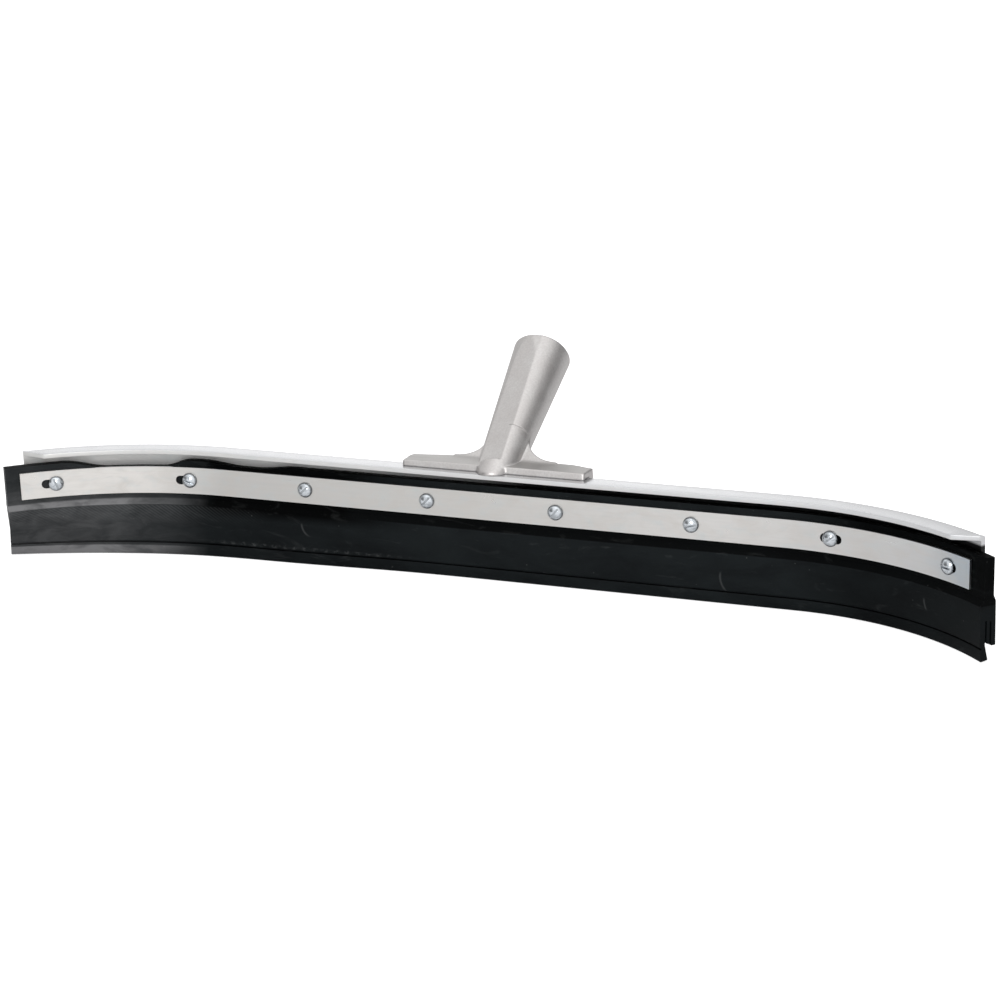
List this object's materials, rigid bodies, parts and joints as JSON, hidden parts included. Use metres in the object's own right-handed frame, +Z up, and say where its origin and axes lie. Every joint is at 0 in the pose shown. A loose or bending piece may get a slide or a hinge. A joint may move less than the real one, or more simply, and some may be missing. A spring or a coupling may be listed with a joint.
{
  "type": "floor squeegee head",
  "caption": "Head of a curved floor squeegee: steel angle and clamp strip holding a thick rubber blade, with a cast tapered handle socket.",
  "frame": {"origin": "centre of the handle socket's mouth", "axes": "+X along the blade, to the right for someone facing its front; +Y backward, toward the handle; +Z up, away from the floor"},
  "size_m": [0.6265, 0.1515, 0.1337],
  "materials": {
    "zinc_plated_steel": "zinc-plated, faintly brushed, satin",
    "black_rubber": "matte black moulded rubber",
    "cast_aluminium": "die-cast, matte to satin",
    "bright_zinc": "bright zinc plate"
  },
  "bodies": {
    "head": {"frame_channel": "zinc_plated_steel", "clamp_strip": "zinc_plated_steel", "rubber_blade": "black_rubber", "socket_casting": "cast_aluminium", "lock_washer_1": "bright_zinc", "clamp_nut_1": "bright_zinc", "lock_washer_2": "bright_zinc", "clamp_nut_2": "bright_zinc", "lock_washer_3": "bright_zinc", "clamp_nut_3": "bright_zinc", "lock_washer_4": "bright_zinc", "clamp_nut_4": "bright_zinc", "lock_washer_5": "bright_zinc", "clamp_nut_5": "bright_zinc", "lock_washer_6": "bright_zinc", "clamp_nut_6": "bright_zinc", "lock_washer_7": "bright_zinc", "clamp_nut_7": "bright_zinc", "lock_washer_8": "bright_zinc", "clamp_nut_8": "bright_zinc"},
    "screw_1": {"clamp_screw_1": "bright_zinc"},
    "screw_2": {"clamp_screw_2": "bright_zinc"},
    "screw_3": {"clamp_screw_3": "bright_zinc"},
    "screw_4": {"clamp_screw_4": "bright_zinc"},
    "screw_5": {"clamp_screw_5": "bright_zinc"},
    "screw_6": {"clamp_screw_6": "bright_zinc"},
    "screw_7": {"clamp_screw_7": "bright_zinc"},
    "screw_8": {"clamp_screw_8": "bright_zinc"}
  },
  "joints": [
    {"name": "clamp_screw_1_turn", "type": "hinge", "parent": "head", "child": "screw_1", "pos_m": [-0.2809, -0.12226, -0.07127], "axis": [0.5407, -0.8412, 0], "range_deg": [0, 270]},
    {"name": "clamp_screw_2_turn", "type": "hinge", "parent": "head", "child": "screw_2", "pos_m": [-0.20218, -0.09348, -0.07127], "axis": [0.1295, -0.9916, 0], "range_deg": [0, 270]},
    {"name": "clamp_screw_3_turn", "type": "hinge", "parent": "head", "child": "screw_3", "pos_m": [-0.12325, -0.09187, -0.07127], "axis": [0, -1, 0], "range_deg": [0, 270]},
    {"name": "clamp_screw_4_turn", "type": "hinge", "parent": "head", "child": "screw_4", "pos_m": [-0.04205, -0.09187, -0.07127], "axis": [0, -1, 0], "range_deg": [0, 270]},
    {"name": "clamp_screw_5_turn", "type": "hinge", "parent": "head", "child": "screw_5", "pos_m": [0.04065, -0.09187, -0.07127], "axis": [0, -1, 0], "range_deg": [0, 270]},
    {"name": "clamp_screw_6_turn", "type": "hinge", "parent": "head", "child": "screw_6", "pos_m": [0.12455, -0.09187, -0.07127], "axis": [0, -1, 0], "range_deg": [0, 270]},
    {"name": "clamp_screw_7_turn", "type": "hinge", "parent": "head", "child": "screw_7", "pos_m": [0.20812, -0.09435, -0.07127], "axis": [-0.1605, -0.987, 0], "range_deg": [0, 270]},
    {"name": "clamp_screw_8_turn", "type": "hinge", "parent": "head", "child": "screw_8", "pos_m": [0.28191, -0.12291, -0.07127], "axis": [-0.546, -0.8378, 0], "range_deg": [0, 270]}
  ]
}
